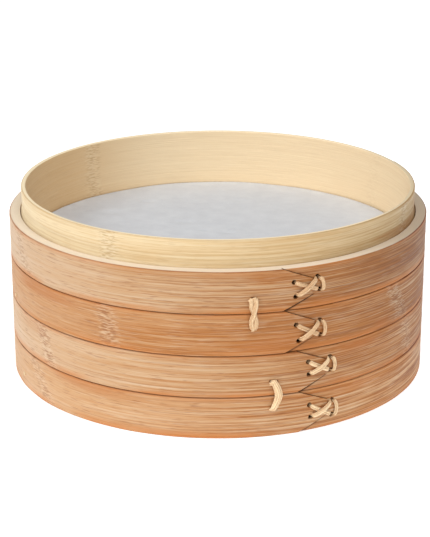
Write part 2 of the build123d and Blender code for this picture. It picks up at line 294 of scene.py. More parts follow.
class Strip(Graph):
    """The material of a strip bent round the axis, its fibres along the rim. Lengths in millimetres."""

    def __init__(self, name, low, high, outer_radius, seed, skin):
        super().__init__(name)
        self.low, self.high, self.outer_radius, self.skin = low, high, outer_radius, skin
        self.x, self.y, self.z = self.place()
        self.radius = self.hypotenuse(self.x, self.y)
        self.across = self.add(self.z, self.radius, seed * 37.0)
        self.turn = self.times(self.math("ARCTAN2", self.y, self.x), 180 / math.pi)
        self.outside = self.fade(self.radius, outer_radius - 2.4, outer_radius - 1.4)
        self.grain = self.along(90.0, 0.95, 19.3, 1.0)
        self.fibres = self.along(50.0, 0.6, 23.9, 2.0, 0.6)
        self.hairs = self.along(26.0, 0.30, 41.3, 1.0)
        self.lines = self.along(110.0, 0.85, 47.1, 1.0)
        self.dashes = self.along(10.0, 0.6, 57.7, 1.0)
        self.wander = self.add(self.along(60.0, 5.0, 97.3, 1.0), -0.5)
        self.blotches = self.noise(self.stretched(34, 15))

    def stretched(self, length, width, shift=0.0):
        """Coordinates with a unit so long along the rim and so wide across the fibres."""
        return self.vector(
            self.times(self.x, 1 / length),
            self.times(self.y, 1 / length),
            self.add(self.times(self.across, 1 / width), shift),
        )

    def along(self, length, width, shift, detail=2.0, roughness=0.55):
        """Noise drawn out along the rim: streaks so long and so wide."""
        return self.noise(self.stretched(length, width, shift), detail, roughness)

    def to_right(self, middle, growth):
        """An amount at the middle that grows towards +X."""
        return self.add(middle, self.times(self.x, growth / self.outer_radius))

    def away_from(self, turn):
        """Degrees round the rim from a turn, -180 to 180."""
        return self.math("WRAP", self.math("SUBTRACT", self.turn, turn), 180.0, -180.0)

    def streaked(self, tone, painted_side_shade):
        """Tone bands and fibres, with long and short dark vessels, short pale dashes and painted shade
        towards +X.
        """
        skin = self.skin
        shade = self.add(
            self.times(self.along(160.0, 9.0, 3.1), 0.40),
            self.times(self.along(130.0, 2.6, 11.7), 0.36),
            self.times(self.grain, 0.85),
            self.times(self.fibres, 0.60),
            self.times(self.hairs, 0.30),
            self.times(self.blotches, 0.26),
            -1.385,
        )
        # painted shade: the strip turns browner towards +X, the side that the key lamp leaves darker
        shade = self.add(
            self.times(shade, self.to_right(*skin["contrast"])),
            self.times(self.x, painted_side_shade / self.outer_radius),
            (tone - 0.5) * 0.6,
        )
        ramp = self.node("ShaderNodeValToRGB")
        elements = ramp.color_ramp.elements
        elements[0].color = (*skin["light"], 1)
        elements[1].color = (*skin["dark"], 1)
        elements.new(0.5).color = (*skin["middle"], 1)
        self.put(ramp.inputs["Fac"], self.span(shade, -0.31, 0.31))
        colour = ramp.outputs["Color"]
        for noise, start, full, amount, tint in (
            (self.lines, 0.54, 0.66, self.to_right(*skin["lines"]), "vessel"),
            (self.grain, 0.52, 0.60, self.to_right(*skin["streaks"]), "vessel"),
            (self.dashes, 0.58, 0.72, skin["dashes"], "vessel"),
            (self.along(16.0, 0.6, 71.9, 1.0), 0.56, 0.70, 0.32, "light"),
        ):
            colour = self.mix(self.times(self.fade(noise, start, full), amount), colour, skin[tint])
        return colour

    def planed_inside_with_painted_shade(self, colour):
        """A ring's inner face is planed, so it is paler and plainer, but for a browner stretch of painted
        shade round 174 degrees, on the left wall that faces away from the key lamp.
        """
        # painted shade: the inner face browner round 174 degrees, the wall that faces away from the key
        # lamp
        off = self.math("ABSOLUTE", self.away_from(174.0))
        inside = self.mix(self.fade(off, 66.0, 22.0), srgb(255, 232, 194), srgb(226, 188, 138))
        return self.mix(self.add(0.80, self.times(self.outside, -0.80)), colour, inside)

    def knotted(self, colour, knots):
        """At a knot the fibres run past each other in a ragged band of pale and brown ticks."""
        knot_light, knot_dark = self.skin["knot_light"], self.skin["knot_dark"]
        share = self.span(self.z, self.low, self.high)
        jag = self.add(self.along(5.0, 0.7, 83.1, 1.0), -0.5)
        ticks = self.noise(self.stretched(4.0, 0.6), 1.0, 0.5)
        bands = []
        for at_low, at_high, strength in knots:
            middle = self.add(self.times(share, at_high - at_low), at_low)
            off = self.times(self.away_from(middle), math.radians(1) * self.outer_radius)
            off = self.add(off, self.times(jag, 10.0), self.times(self.wander, 6.0))
            near = self.math("ABSOLUTE", off)
            band = self.times(self.fade(near, 8.5, 3.0), strength)
            core = self.times(self.fade(near, 1.6, 0.2), strength)
            brown = self.times(band, self.fade(ticks, 0.50, 0.60))
            white = self.times(band, self.fade(ticks, 0.48, 0.38))
            colour = self.mix(self.times(band, 0.10), colour, knot_light)
            colour = self.mix(self.times(brown, 0.55), colour, knot_dark)
            colour = self.mix(self.times(white, 0.50), colour, knot_light)
            colour = self.mix(self.times(core, 0.16), colour, knot_dark)
            bands.append(band)
        return colour, self.times(self.add(*bands), ticks)

    def stained_and_shaded(self, colour, stains_and_shade):
        """Warm patches with ragged edges; on the upper tier's ring they are painted shade at its base on
        the +X side.
        """
        for at, height, half_length, half_height, strength in stains_and_shade:
            off = self.times(self.away_from(at), math.radians(1) * self.outer_radius / half_length)
            rise = self.times(self.add(self.z, -self.low - height), 1 / half_height)
            away = self.hypotenuse(off, rise)
            away = self.add(away, self.times(self.wander, 2.0), self.times(self.fibres, 0.6))
            amount = self.times(self.fade(away, 1.7, 0.5), strength * 0.75)
            colour = self.mix(amount, colour, srgb(198, 116, 42))
        return colour

    def valued_with_painted_side_light(self, colour, value, growth):
        """How light the outer face is; its change towards +X is painted shade, or painted light where it
        grows.
        """
        # painted light and shade: the outer face darker or lighter towards +X for how the lamps and the
        # floor light the two sides
        level = self.add(value, self.times(self.fade(self.x, 30.0, self.outer_radius), growth))
        level = self.add(1.0, self.times(self.outside, self.add(level, -1.0)))
        return self.mix(1.0, colour, self.vector(level, level, level), "MULTIPLY")

    def edged(self, colour, open_top):
        """Warmer towards both edges, a thin dark line of skin at each, and sawn wood on an open top; the
        upper line and the sawn top get painted shade towards +X.
        """
        low, high, rim, skin = self.low, self.high, self.outer_radius, self.skin
        patchy = self.fade(self.along(40.0, 6.0, 111.3), 0.30, 0.58)
        near_edge = self.add(
            self.fade(self.z, low + 4.6, low + 0.4),
            self.times(self.fade(self.z, high - 3.4, high - 0.4), 0.6),
        )
        warm = self.times(self.times(near_edge, patchy), self.times(self.outside, skin["warm_edges"]))
        colour = self.mix(warm, colour, skin["edge_warm"])
        line = self.times(
            self.fade(self.z, high - 0.8, high - 0.35), self.fade(self.radius, rim - 0.9, rim - 0.5)
        )
        # painted shade: the top skin line deepens towards +X, away from the key lamp
        line = self.times(line, self.add(0.35, self.times(self.fade(self.x, 20.0, 115.0), 0.6)))
        colour = self.mix(self.times(line, skin["top_line"]), colour, skin["seam"])
        if open_top:
            on_top = self.fade(self.z, high - 0.42, high - 0.16)
            sawn = self.times(on_top, self.fade(self.radius, rim - 0.5, rim - 1.0))
            colour = self.mix(self.times(sawn, 0.88), colour, skin["edge_light"])
            # painted shade: the sawn top turns greyer and darker towards +X, away from the key lamp
            painted_right_shade = self.times(self.fade(self.x, 75.0, 124.0), 0.45)
            colour = self.mix(self.times(sawn, painted_right_shade), colour, srgb(160, 138, 106))
        foot = self.times(self.fade(self.z, low + 0.55, low + 0.2), skin["bottom_line"])
        return self.mix(foot, colour, skin["seam"])


def strip_bamboo(node, tier, level, low, high, outer_radius, seed, open_top):
    """A hoop's or a ring's material, with painted shade in the hollows that the mesh marks."""
    pale = level == "ring"
    skin = {key: tan_and_pale[pale] for key, tan_and_pale in SKINS.items()}
    graph = Strip(f"{node}_bamboo", low / MM, high / MM, outer_radius / MM, seed, skin)
    colour = graph.streaked(tier["tone"][level], tier["painted_side_shade"][level])
    if pale:
        colour = graph.planed_inside_with_painted_shade(colour)
    colour, knot_relief = graph.knotted(colour, tier["knots"][level])
    colour = graph.stained_and_shaded(colour, tier["stains_and_shade"][level])
    colour = graph.valued_with_painted_side_light(colour, *tier["value"][level])
    colour = graph.edged(colour, open_top)
    hollow_shade = graph.node("ShaderNodeAttribute", attribute_name="hollow_shade").outputs["Fac"]
    # painted shade: the cane pits, the slit past the tongue's tip and the step under its low slant are
    # coloured near black
    colour = graph.mix(hollow_shade, colour, srgb(30, 13, 6))
    height = graph.add(
        graph.times(graph.fibres, 0.45),
        graph.times(graph.hairs, 0.30),
        graph.times(graph.dashes, -0.30),
        graph.times(graph.lines, -0.45),
        graph.times(graph.grain, -0.5),
        graph.times(knot_relief, -0.4),
    )
    dryness = graph.span(graph.add(graph.fibres, graph.blotches), 0.7, 1.3, 0.50, 0.66)
    roughness = graph.add(dryness, graph.times(hollow_shade, 0.34))
    graph.shader.inputs["Coat Weight"].default_value = 0.05
    graph.shader.inputs["Coat Roughness"].default_value = 0.35
    return graph.finish(colour, roughness, height, 0.00018, 0.34)


def straight_bamboo(name, run, light, dark, vessel, seed):
    """Split bamboo with straight fibres along x or y: slats and crossbars."""
    graph = Graph(name)
    x, y, z = graph.place()
    long_axis, cross_axis = (x, y) if run == "x" else (y, x)

    def along(length, width, shift, detail=2.0):
        coords = graph.vector(
            graph.times(long_axis, 1 / length),
            graph.add(graph.times(cross_axis, 1 / width), shift + seed),
            graph.times(z, 1 / width),
        )
        return graph.noise(coords, detail, 0.6)

    fibres = along(60.0, 0.7, 1.3, 3.0)
    bands = along(140.0, 5.0, 17.1)
    dashes = along(8.0, 0.55, 29.3, 1.0)
    factor = graph.span(graph.add(graph.times(fibres, 0.5), graph.times(bands, 0.6)), 0.35, 0.75)
    colour = graph.mix(factor, light, dark)
    colour = graph.mix(graph.times(graph.fade(dashes, 0.6, 0.72), 0.5), colour, vessel)
    height = graph.add(graph.times(fibres, 0.6), graph.times(dashes, -0.3))
    roughness = graph.span(fibres, 0.3, 0.7, 0.5, 0.68)
    return graph.finish(colour, roughness, height, 0.00015, 0.35)


def peg_bamboo():
    """End grain: round dots of the cut vessels."""
    graph = Graph("peg_end_grain")
    place = graph.place()
    dots = graph.node("ShaderNodeTexVoronoi", feature="F1")
    graph.put(dots.inputs["Vector"], graph.spread(place, 2.4))
    dots.inputs["Scale"].default_value = 1.0
    spots = graph.fade(dots.outputs["Distance"], 0.42, 0.24)
    stain = graph.noise(graph.spread(place, 0.6))
    colour = graph.mix(graph.fade(stain, 0.35, 0.7), srgb(240, 214, 172), srgb(220, 184, 136))
    colour = graph.mix(graph.times(spots, 0.55), colour, srgb(166, 118, 74))
    return graph.finish(colour, graph.span(stain, 0.3, 0.7, 0.55, 0.7), spots, 0.0001)


def cane_material():
    """Split cane: satin, with fine lines along each fibre."""
    graph = Graph("split_cane")
    place = graph.place()
    lumps = graph.noise(graph.spread(place, 1.6), 3.0)
    grain = graph.noise(graph.spread(place, 4.5))
    attribute = graph.node("ShaderNodeAttribute", attribute_name="strand")
    factor = graph.add(graph.times(lumps, 0.55), graph.times(attribute.outputs["Fac"], 0.5))
    colour = graph.mix(graph.span(factor, 0.20, 0.75), srgb(200, 150, 102), srgb(255, 230, 188))
    colour = graph.mix(graph.times(graph.fade(grain, 0.56, 0.72), 0.35), colour, srgb(170, 118, 72))
    return graph.finish(colour, graph.span(lumps, 0.3, 0.7, 0.42, 0.6), grain, 0.0001, 0.45)


def paper_material():
    """Greaseproof paper: matt, with a faint cloud of fibres."""
    graph = Graph("liner_paper")
    place = graph.place()
    cloud = graph.noise(graph.spread(place, 1 / 9, 1 / 9, 1.0), 4.0, 0.6)
    fibre = graph.noise(graph.spread(place, 1.3, 1.3, 1.0), 3.0, 0.7)
    factor = graph.span(graph.add(graph.times(cloud, 0.7), graph.times(fibre, 0.3)), 0.35, 0.65)
    colour = graph.mix(factor, srgb(200, 202, 206), srgb(210, 212, 215))
    roughness = graph.span(cloud, 0.3, 0.7, 0.6, 0.75)
    return graph.finish(colour, roughness, graph.add(cloud, fibre), 0.00012, 0.25)


def seed_of(node):
    """A seed of its own for each node."""
    return sorted(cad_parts).index(node)


def assign(piece, material):
    for slot in piece.material_slots:
        slot.material = material
    if not piece.material_slots:
        piece.data.materials.append(material)


def new_piece(name, vertices, faces, material):
    """A smooth piece from points and faces."""
    mesh = bpy.data.meshes.new(name)
    mesh.from_pydata(vertices, [], faces)
    mesh.update()
    mesh.shade_smooth()
    piece = bpy.data.objects.new(name, mesh)
    bpy.context.scene.collection.objects.link(piece)
    assign(piece, material)
    return piece


# ---- strips bent round the axis

class Field:
    """Smooth random values over a turn and a height, periodic in the turn."""

    def __init__(self, seed, around, up):
        self.grid = np.random.default_rng(seed).uniform(-1, 1, (around, up + 2))
        self.around, self.up = around, up

    def __call__(self, turn, share):
        u = np.mod(turn / 360, 1) * self.around
        v = np.clip(share, 0, 1) * self.up
        i, j = np.floor(u).astype(int), np.floor(v).astype(int)
        fu, fv = u - i, v - j
        fu, fv = fu * fu * (3 - 2 * fu), fv * fv * (3 - 2 * fv)
        i0, i1 = i % self.around, (i + 1) % self.around
        low = self.grid[i0, j] * (1 - fu) + self.grid[i1, j] * fu
        high = self.grid[i0, j + 1] * (1 - fu) + self.grid[i1, j + 1] * fu
        return low * (1 - fv) + high * fv


def smooth(value, low, high):
    share = np.clip((value - low) / (high - low), 0, 1)
    return share * share * (3 - 2 * share)


def wrap(turn):
    return np.mod(turn + 180, 360) - 180


def capsule(turn, height, start, end, radius):
    """1 inside a round-ended slot between two (angle, height) places on a hoop, 0 outside."""
    u = np.radians(wrap(turn - start[0])) * HOOP_RADIUS
    v = height - start[1]
    run = np.radians(end[0] - start[0]) * HOOP_RADIUS
    rise = end[1] - start[1]
    length = run * run + rise * rise
    share = np.clip((u * run + v * rise) / length, 0, 1) if length else 0.0
    away = np.hypot(u - share * run, v - share * rise)
    return 1 - smooth(away, radius * 0.88, radius * 1.08)


def edge_rows(low, high, rounding, step):
    """Heights and insets up a face whose two edges are rounded."""
    corner = np.radians(np.linspace(0, 90, 5))
    low_z = low + rounding * (1 - np.cos(corner))
    inset = rounding * (1 - np.sin(corner))
    count = max(2, int(round((high - low - 2 * rounding) / step)))
    middle = np.linspace(low + rounding, high - rounding, count + 1)[1:-1]
    heights = np.concatenate([low_z, middle, (low + high - low_z)[::-1]])
    insets = np.concatenate([inset, np.zeros(len(middle)), inset[::-1]])
    return heights, insets


def grid_mesh(name, points, material, hollow_shade=None):
    """A mesh closed both ways from (columns, profile, 3) points, with how much painted shade each hollow
    gets.
    """
    columns, profile = points.shape[:2]
    index = np.arange(columns * profile).reshape(columns, profile)
    right = np.roll(index, -1, axis=0)
    faces = np.stack([index, right, np.roll(right, -1, axis=1), np.roll(index, -1, axis=1)], axis=-1)
    piece = new_piece(name, points.reshape(-1, 3).tolist(), faces.reshape(-1, 4).tolist(), material)
    piece.data.set_sharp_from_angle(angle=math.radians(42))
    if hollow_shade is not None:
        layer = piece.data.attributes.new("hollow_shade", "FLOAT", "POINT")
        layer.data.foreach_set("value", hollow_shade.ravel())
    return piece


def knot_swell(turn, share, knots, outer):
    """The raised, ragged band of each of the bamboo's nodes."""
    swell = np.zeros_like(turn)
    for at_low, at_high, strength in knots:
        off = np.radians(wrap(turn - (at_low + (at_high - at_low) * share))) * outer / MM
        ridge, groove = np.exp(-((off / 2.8) ** 2)), np.exp(-(((off - 4.6) / 1.8) ** 2))
        swell += strength * (0.09 * ridge - 0.05 * groove)
    return swell * MM


def edge_bridge(first, second, count, grain=0.0, seed=0):
    """Rows across the wall, from the last row of one face to the first row of the next."""
    shares = np.linspace(0, 1, count + 2)[1:-1]
    rows = first[:, :, -1:] + (second[:, :, :1] - first[:, :, -1:]) * shares
    rows[2] -= np.abs(grain * np.sin(shares * 40 + seed))
    return rows


def closed_section(outer, inner, *edges):
    """Outer face, top edge, inner face and bottom edge; each face is turn, radius and height."""
    top = edge_bridge(outer, inner, *edges)
    bottom = edge_bridge(inner, outer, *edges)
    return np.concatenate([outer, top, inner, bottom], axis=2)


def on_cylinder(section):
    """x, y and z from turn, radius and height."""
    turn, radius, height = section
    angle = np.radians(turn)
    return np.stack([radius * np.cos(angle), radius * np.sin(angle), height], axis=-1)


def hoop_columns():
    """Turns from the tongue's edge: close together in the lap, and closest at the edge itself."""
    at_edge = [-0.12, -0.05, 0.0, 0.03, 0.12, 0.22, 0.26]
    near = np.concatenate([np.arange(-9.0, -0.2, 0.11), at_edge, np.arange(0.34, 6.2, 0.11)])
    far_left = np.linspace(-34, -9, 32)[:-1]
    far_right = np.linspace(6.3, 326, 400)[:-1]
    return np.concatenate([far_left, near, far_right])


class Hoop:
    """One outer hoop: the lap's tongue, the sunk start beneath it, pits for the cane, and relief."""

    def __init__(self, tier_name, level):
        self.tier_name, self.level, self.tier = tier_name, level, TIERS[tier_name]
        self.node = f"{tier_name}_{level}_hoop"
        self.seed = seed_of(self.node)
        self.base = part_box(self.node)[0][2]
        self.low, self.high = self.base + EDGE_ROOM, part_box(self.node)[1][2] - EDGE_ROOM
        lap, holes = self.tier["laps"][level]
        tie_height = TIE_HIGH - HOOP_HEIGHT if level == "upper" else TIE_LOW
        self.tip = lap + TONGUE_TIP
        self.holes = [(lap + turn, self.base + height * MM) for turn, height in holes]
        self.ties = [(self.tier["tie"] + turn, self.base + tie_height) for turn in (0, 180)]
        self.coarse_relief = Field(self.seed * 7 + 1, 60, 14)
        self.fine_relief = Field(self.seed * 7 + 2, 130, 42)

        # columns lean with the tongue's two slanted edges, less and less away from the lap
        past = hoop_columns()
        hold = np.where(past <= 0, np.clip(1 + past / 26, 0, 1), np.clip(1 - past / 18, 0, 1))
        self.past = past[:, None]
        self.hold = hold[:, None]

    def outer_face(self):
        """Turn, radius and height of the outer face, and how much painted shade each hollow in it gets.
        """
        heights, insets = edge_rows(self.low, self.high, 0.55 * MM, 0.31 * MM)
        for corner in (self.base + TONGUE_LOW, self.base + TONGUE_HIGH):
            heights[np.argmin(np.abs(heights - corner))] = corner
        own = heights - self.base
        pull = np.minimum(own / TONGUE_LOW, (HOOP_HEIGHT - own) / (HOOP_HEIGHT - TONGUE_HIGH))
        lean = (np.clip(pull, 0, 1) - 1) * (TONGUE_TIP - TONGUE_START)
        turn = self.tip + self.past + self.hold * lean
        past = np.broadcast_to(self.past, turn.shape)
        z = np.broadcast_to(heights, turn.shape)
        share = (z - self.low) / (self.high - self.low)

        relief = 0.075 * MM * self.coarse_relief(turn, share) + 0.045 * MM * self.fine_relief(turn, share)
        swell = knot_swell(turn, share, self.tier["knots"][self.level], HOOP_RADIUS)
        sunk = np.where(past > 0, LAP_STEP * (1 - smooth(past, 0, SUNK_TURN)), 0.0)
        slit = np.where((past > 0) & (past < SLIT_TURN), 0.7 * MM, 0.0)
        lift = np.where(past <= 0, 0.10 * MM * smooth(past, -6, 0), 0.0)
        radius = HOOP_RADIUS - FACE_ROOM - insets + relief + swell - sunk - slit + lift
        lace_pits = sum(capsule(turn, z, hole, hole, LACE_PIT) for hole in self.holes)
        tie_pits = sum(capsule(turn, z, hole, hole, TIE_PIT) for hole in self.ties)
        radius -= PIT_DEPTH * (lace_pits + tie_pits)

        # under the tongue's low slant the gap is wider, so its painted shade reaches further
        reach = np.where(own < TONGUE_LOW - 0.3 * MM, 1.15, SLIT_TURN)
        shade = np.where(past > 0, 1 - smooth(past, reach * 0.7, reach * 1.35), 0.0)
        hollow_shade = np.clip(lace_pits * 1.5 + (0.85 if self.level == "upper" else 0.6) * shade, 0, 1)
        return np.stack([turn, radius, z]), hollow_shade

    def inner_face(self):
        """Turn, radius and height of the inner face, with grooves for the cane's inner runs."""
        heights, insets = (row[::-1] for row in edge_rows(self.low, self.high, 0.2 * MM, 0.8 * MM))
        turn = self.tip + self.past - (TONGUE_TIP - TONGUE_START) * self.hold + 0 * heights
        z = np.broadcast_to(heights, turn.shape)
        share = (z - self.low) / (self.high - self.low)
        wall, seam = HOOP_INNER, self.base
        if self.level == "lower":
            wall, seam = SOCKET_INNER, self.base + HOOP_HEIGHT
        radius = wall + insets + 0.05 * MM * self.coarse_relief(turn + 40, share)
        if self.level == "lower":
            radius -= (SOCKET_INNER - HOOP_INNER) * smooth(z - self.base, RING_LOW, RING_LOW + 0.6 * MM)
        low_left, high_left, low_right, high_right = self.holes
        for start, end in ((low_left, low_right), (high_left, high_right)):
            radius += LACE_GROOVE_DEPTH * capsule(turn, z, start, end, LACE_PIT)
        for angle, height in self.ties:
            groove = capsule(turn, z, (angle, height), (angle, seam), TIE_GROOVE)
            radius += TIE_GROOVE_DEPTH * groove
        return np.stack([turn, radius, z])

    def make(self):
        outer, outer_hollow_shade = self.outer_face()
        section = closed_section(outer, self.inner_face(), 4, 0.03 * MM, self.seed)
        # hand-sawn edges wander a little, always inwards
        turn = section[0]
        wander = Field(self.seed * 7 + 3, 60, 1)
        squeeze = 1 - 0.006 * (1 + wander(turn, 0 * turn))
        middle = (self.low + self.high) / 2
        section[2] = middle + (section[2] - middle) * squeeze
        hollow_shade = np.zeros_like(turn)
        hollow_shade[:, :outer_hollow_shade.shape[1]] = outer_hollow_shade
        material = strip_bamboo(
            self.node, self.tier, self.level, self.low, self.high, HOOP_RADIUS, self.seed,
            self.node == "upper_tier_upper_hoop",
        )
        piece = grid_mesh(f"{self.node}_strip", on_cylinder(section), material, hollow_shade)
        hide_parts(self.node)
        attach(piece, self.tier_name)


def ring_columns(outer_end, inner_end):
    """Even turns round the ring, with close ones at its outer tip and at its inner end."""
    ends = [end + step for end in (outer_end, inner_end) for step in (-0.2, 0.0, 0.03, 0.2)]
    even = np.arange(0, 360, 0.84)
    even = even[[min(abs(wrap(turn - end)) for end in ends) > 0.15 for turn in even]]
    return np.sort(np.concatenate([even, np.mod(ends, 360)]))


def ring_piece(tier_name):
    """The thin inner ring, its outer tip and inner end a hair proud, and its rim eased."""
    tier = TIERS[tier_name]
    node = f"{tier_name}_inner_ring"
    seed = seed_of(node)
    low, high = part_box(node)[0][2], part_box(node)[1][2]
    knots = tier["knots"]["ring"]
    outer_end, inner_end = tier["turn"] + RING_HALF_LAP, tier["turn"] - RING_HALF_LAP
    heights, insets = edge_rows(low, high, 0.6 * MM, 0.62 * MM)
    turn = ring_columns(outer_end, inner_end)[:, None] + 0 * heights
    z = np.broadcast_to(heights, turn.shape)
    share = (z - low) / (high - low)
    coarse_relief, fine_relief = Field(seed * 5 + 1, 60, 18), Field(seed * 5 + 2, 120, 54)

    # past the outer tip the strip's other end lies lower; below the shoulder the foot is thicker
    past = np.mod(turn - outer_end + 1e-6, 360)
    relief = 0.05 * MM * coarse_relief(turn, share) + 0.035 * MM * fine_relief(turn, share)
    sunk = np.where(past >= 0.02, 0.45 * MM * (1 - smooth(past, 0, 50)), 0.0)
    shoulder = tier["base"] + TIER_HEIGHT
    foot = 0.55 * MM * (1 - smooth(z, shoulder - 0.4 * MM, shoulder + 1.4 * MM))
    swell = 0.6 * knot_swell(turn, share, knots, RING_OUTER)
    outer = np.stack([turn, RING_OUTER + foot - insets + relief - sunk + swell, z])

    past = np.mod(turn - inner_end + 1e-6, 360)
    relief = 0.05 * MM * coarse_relief(turn + 50, share) + 0.03 * MM * fine_relief(turn + 50, share)
    proud = 0.35 * MM * np.where(past < 0.02, 1.0, smooth(past, 310, 360))
    swell = 0.5 * knot_swell(turn, share, knots, RING_INNER)
    inner = np.stack([turn, RING_INNER + insets + relief + proud - swell, z])[:, :, ::-1]

    material = strip_bamboo(node, tier, "ring", low, high, RING_OUTER, seed, True)
    piece = grid_mesh(f"{node}_strip", on_cylinder(closed_section(outer, inner, 3)), material)
    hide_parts(node)
    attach(piece, tier_name)


# ---- cane

def polar(radius, turn, height):
    angle = math.radians(turn)
    return np.array([radius * math.cos(angle), radius * math.sin(angle), height])


def curve_through(points, count):
    """A smooth path through a few points, evenly divided between them."""
    points = np.asarray(points)
    padded = np.vstack([2 * points[0] - points[1], points, 2 * points[-1] - points[-2]])
    path = []
    spans = len(points) - 1
    for share in np.linspace(0, spans, count):
        i = min(int(share), spans - 1)
        t = share - i
        a, b, c, d = padded[i:i + 4]
        square, cube = 2 * a - 5 * b + 4 * c - d, 3 * b - a - 3 * c + d
        path.append(0.5 * (2 * b + (c - a) * t + square * t ** 2 + cube * t ** 3))
    return np.array(path)


def unit(vectors):
    return vectors / np.linalg.norm(vectors, axis=1)[:, None]


def path_frame(path):
    """Directions along a path, and across it on the basket's surface."""
    along = unit(np.gradient(path, axis=0))
    outwards = unit(path * np.array([1, 1, 0]))
    return along, np.cross(along, outwards)


class Bundle:
    """Cane strands as bundles of thin fibres, gathered into one mesh."""

    def __init__(self, seed, brightness):
        self.rng = np.random.default_rng(seed)
        self.brightness = brightness
        self.vertices, self.faces, self.strand = [], [], []

    def fibre(self, path, radius, value, sides=7):
        """A round tube along a path, closed at both ends."""
        start = len(self.vertices)
        along, side = path_frame(path)
        side[np.linalg.norm(side, axis=1) < 0.3] = np.array([0, 0, 1])
        side = unit(side)
        up = np.cross(side, along)
        angles = np.linspace(0, 2 * math.pi, sides, endpoint=False)
        for point, u, v, size in zip(path, side, up, radius):
            for angle in angles:
                self.vertices.append(point + size * (math.cos(angle) * u + math.sin(angle) * v))
                self.strand.append(value)
        rings = len(path)
        for i in range(rings - 1):
            for k in range(sides):
                a, b = start + i * sides + k, start + i * sides + (k + 1) % sides
                self.faces.append((a, b, b + sides, a + sides))
        self.faces.append(tuple(start + k for k in reversed(range(sides))))
        self.faces.append(tuple(start + (rings - 1) * sides + k for k in range(sides)))

    def strip(self, points, width, thickness, fibres=5, count=44, fray=0.0, pinch=0.55):
        """A flat split strand along a path: wide across the surface, thin outwards."""
        path = curve_through(points, count)
        along, side = path_frame(path)
        # where the strand dives into a hole it keeps the direction that it had beside the hole
        length = np.linalg.norm(side, axis=1)
        for i in range(count):
            if length[i] < 0.35:
                near = np.argmax(length[max(0, i - 8):i + 9]) + max(0, i - 8)
                side[i] = side[near] / max(length[near], 1e-6)
            else:
                side[i] /= length[i]
        up = np.cross(side, along)
        share = np.linspace(0, 1, count)
        gather = pinch + (1 - pinch) * np.sin(math.pi * share) ** 0.5
        spread = fray * np.clip((share - 0.8) / 0.2, 0, 1) ** 2
        taper = 1 - 0.75 * np.clip((share - 0.82) / 0.18, 0, 1) if fray else np.ones(count)
        for k in range(fibres):
            place = (k + 0.5) / fibres * 2 - 1
            rank = 1 if k % 2 else -1
            phase = self.rng.uniform(0, 2 * math.pi)
            wobble = 0.10 * np.sin(share * self.rng.uniform(6, 12) + phase)
            sideways = (place + 0.5 * wobble) * width / 2 * gather + place * spread
            crown = 0.08 * rank + 0.26 * (1 - place * place) + 0.08 * np.cos(share * 9 + phase)
            line = path + side * sideways[:, None] + up * (crown * thickness)[:, None]
            size = width / fibres * self.rng.uniform(0.52, 0.66)
            lumps = 1 + 0.08 * np.sin(share * self.rng.uniform(20, 40) + phase)
            self.fibre(line, size * taper * lumps, self.brightness * self.rng.uniform(0.3, 1))

    def piece(self, name, material):
        """One piece of all the fibres, each with a tone of its own."""
        made = new_piece(name, [tuple(v) for v in self.vertices], self.faces, material)
        layer = made.data.attributes.new("strand", "FLOAT", "POINT")
        layer.data.foreach_set("value", self.strand)
        return made


def lace_piece(tier_name, level, cane):
    """The cane through a lap's four holes: one strand under, one over, one upright, and two inside."""
    tier = TIERS[tier_name]
    node = f"{tier_name}_{level}_hoop_lacing"
    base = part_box(f"{tier_name}_{level}_hoop")[0][2]
    lap, lap_holes = tier["laps"][level]
    bundle = Bundle(seed_of(node), 0.45 if tier_name == "upper_tier" else 1.0)
    faces = (HOOP_RADIUS, HOOP_RADIUS, HOOP_RADIUS - LAP_STEP, HOOP_RADIUS - LAP_STEP)
    low_left, high_left, low_right, high_right = (
        (lap + turn, base + height * MM, face) for (turn, height), face in zip(lap_holes, faces)
    )

    def strand(start, end, rise, bulge=0.0, aside=0.0, width=2.3, ends=0.07):
        """From hole to hole over the surface, its middle this high and bowed aside this far."""
        (t0, z0, f0), (t1, z1, f1) = start, end
        half = [
            (ends, -3.0, 0.0), (ends, -0.9, 0.0),
            (ends + 0.07, 0.6 + rise * 0.25, 0.3), (0.3, 0.65 + rise * 0.72, 0.85),
        ]
        other_half = [(1 - s, height, bow) for s, height, bow in reversed(half)]
        stations = half + [(0.5, 0.65 + rise, 1.0)] + other_half
        points = [
            polar(
                f0 + (f1 - f0) * s + height * MM,
                t0 + (t1 - t0) * s + aside + bulge * bow,
                z0 + (z1 - z0) * s,
            )
            for s, height, bow in stations
        ]
        bundle.strip(points, width * MM, 1.1 * MM, pinch=0.85)

    strand(high_left, low_right, 0.3, width=2.4)
    strand(low_left, high_right, 1.8, width=2.75)
    below = (low_right[0], low_right[1] - 1.2 * MM, low_right[2])
    strand(high_right, below, 0.6, bulge=0.35, aside=0.75, width=2.25, ends=0.06)
    inside = HOOP_INNER + 1.15 * MM
    for (t0, z0, _), (t1, z1, _) in ((low_left, low_right), (high_left, high_right)):
        points = [polar(inside, t0 + (t1 - t0) * s, z0 + (z1 - z0) * s) for s in (0, 0.35, 0.7, 1)]
        bundle.strip(points, 1.9 * MM, 0.9 * MM, fibres=6, count=24)
    piece = bundle.piece(f"{node}_cane", cane)
    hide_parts(node)
    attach(piece, tier_name)


